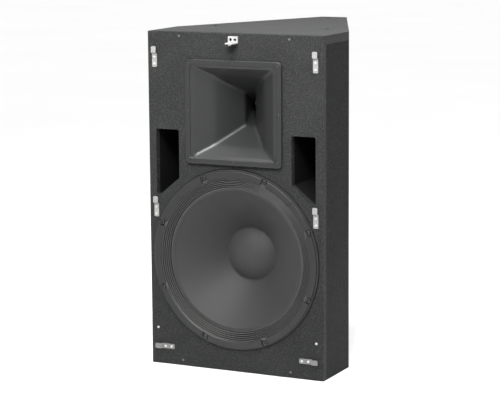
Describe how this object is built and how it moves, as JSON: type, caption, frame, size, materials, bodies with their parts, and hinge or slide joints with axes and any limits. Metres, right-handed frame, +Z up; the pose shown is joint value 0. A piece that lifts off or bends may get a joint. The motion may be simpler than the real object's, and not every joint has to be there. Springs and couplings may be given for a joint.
{
  "type": "pa speaker cabinet",
  "caption": "Two-way PA loudspeaker cabinet, grille off: wedge-backed wooden box with a cone woofer, a square horn over a compression driver, and a vented baffle with grille clips.",
  "frame": {"origin": "middle of the cabinet's underside, half way between the baffle's face and the back panel", "axes": "+X to the right as the listener sees the baffle, +Y from the baffle to the back, +Z up"},
  "size_m": [0.41, 0.5558, 0.726],
  "materials": {
    "painted_baffle": "textured paint",
    "painted_box": "textured paint",
    "port_black": "flat black paint",
    "bare_board": "bare",
    "horn_plastic": "satin",
    "gasket_plastic": "satin",
    "cone_paper": "doped paper",
    "cap_paper": "felted paper",
    "surround_cloth": "doped woven cloth",
    "spider_cloth": "varnished cloth",
    "wadding": "fibre wadding",
    "basket_metal": "black coated casting",
    "zinc_plate": "zinc plated",
    "black_screw": "black oxide",
    "dark_insert": "blackened",
    "plated_steel": "plated",
    "ferrite": "sintered",
    "plate_black": "powder coat",
    "socket_plastic": "moulded",
    "former_film": "polyimide film",
    "copper": "enamelled copper wire",
    "dome_metal": "thin sheet",
    "plug_resin": "moulded",
    "circuit_board": "solder mask",
    "capacitor_film": "wrapped film",
    "ceramic": "cast",
    "cable_jacket": "extruded"
  },
  "bodies": {
    "cabinet": {"front_baffle": "painted_baffle", "top_panel": "painted_box", "bottom_panel": "painted_box", "side_panel_left": "painted_box", "side_panel_right": "painted_box", "angled_panel_left": "painted_box", "angled_panel_right": "painted_box", "back_panel": "painted_box", "port_duct_left": "port_black", "port_duct_right": "port_black", "internal_brace": "bare_board", "fly_inserts": "dark_insert", "baffle_screws": "zinc_plate", "lining_pads": "wadding", "woofer_frame": "basket_metal", "woofer_gasket": "gasket_plastic", "woofer_surround": "surround_cloth", "woofer_spider": "spider_cloth", "woofer_top_plate": "plated_steel", "woofer_magnet": "ferrite", "woofer_back_plate": "plated_steel", "woofer_screws": "black_screw", "woofer_tee_nuts": "plated_steel", "woofer_terminals": "socket_plastic", "horn_flare": "horn_plastic", "horn_screws": "black_screw", "hf_front_plate": "plated_steel", "hf_magnet": "ferrite", "hf_top_plate": "plated_steel", "hf_phase_plug": "plug_resin", "hf_suspension": "former_film", "hf_diaphragm_ring": "socket_plastic", "hf_rear_cover": "basket_metal", "hf_driver_bolts": "plated_steel", "grille_clip_upper_left": "zinc_plate", "grille_clip_upper_right": "zinc_plate", "grille_clip_middle_left": "zinc_plate", "grille_clip_middle_right": "zinc_plate", "grille_clip_lower_left": "zinc_plate", "grille_clip_lower_right": "zinc_plate", "grille_screws": "zinc_plate", "top_bracket": "zinc_plate", "input_plate": "plate_black", "input_plate_screws": "black_screw", "input_socket_upper": "socket_plastic", "input_socket_lower": "socket_plastic", "crossover_board": "circuit_board", "crossover_standoffs": "socket_plastic", "crossover_inductors": "copper", "crossover_capacitors": "capacitor_film", "crossover_resistors": "ceramic", "input_cable": "cable_jacket", "woofer_cable": "cable_jacket", "horn_cable": "cable_jacket"},
    "cone_assembly": {"woofer_cone": "cone_paper", "woofer_dust_cap": "cap_paper", "voice_coil_former": "former_film", "voice_coil_winding": "copper"},
    "hf_dome": {"hf_diaphragm": "dome_metal", "hf_voice_coil": "copper"}
  },
  "joints": [
    {"name": "cone_travel", "type": "slide", "parent": "cabinet", "child": "cone_assembly", "axis": [0, -1, 0], "range_m": [-0.008, 0.008], "stiffness_N_per_m": 6500, "deforming": ["woofer_surround", "woofer_spider"]},
    {"name": "hf_travel", "type": "slide", "parent": "cabinet", "child": "hf_dome", "axis": [0, -1, 0], "range_m": [-0.0003, 0.0003], "stiffness_N_per_m": 3000, "deforming": ["hf_suspension"]}
  ]
}
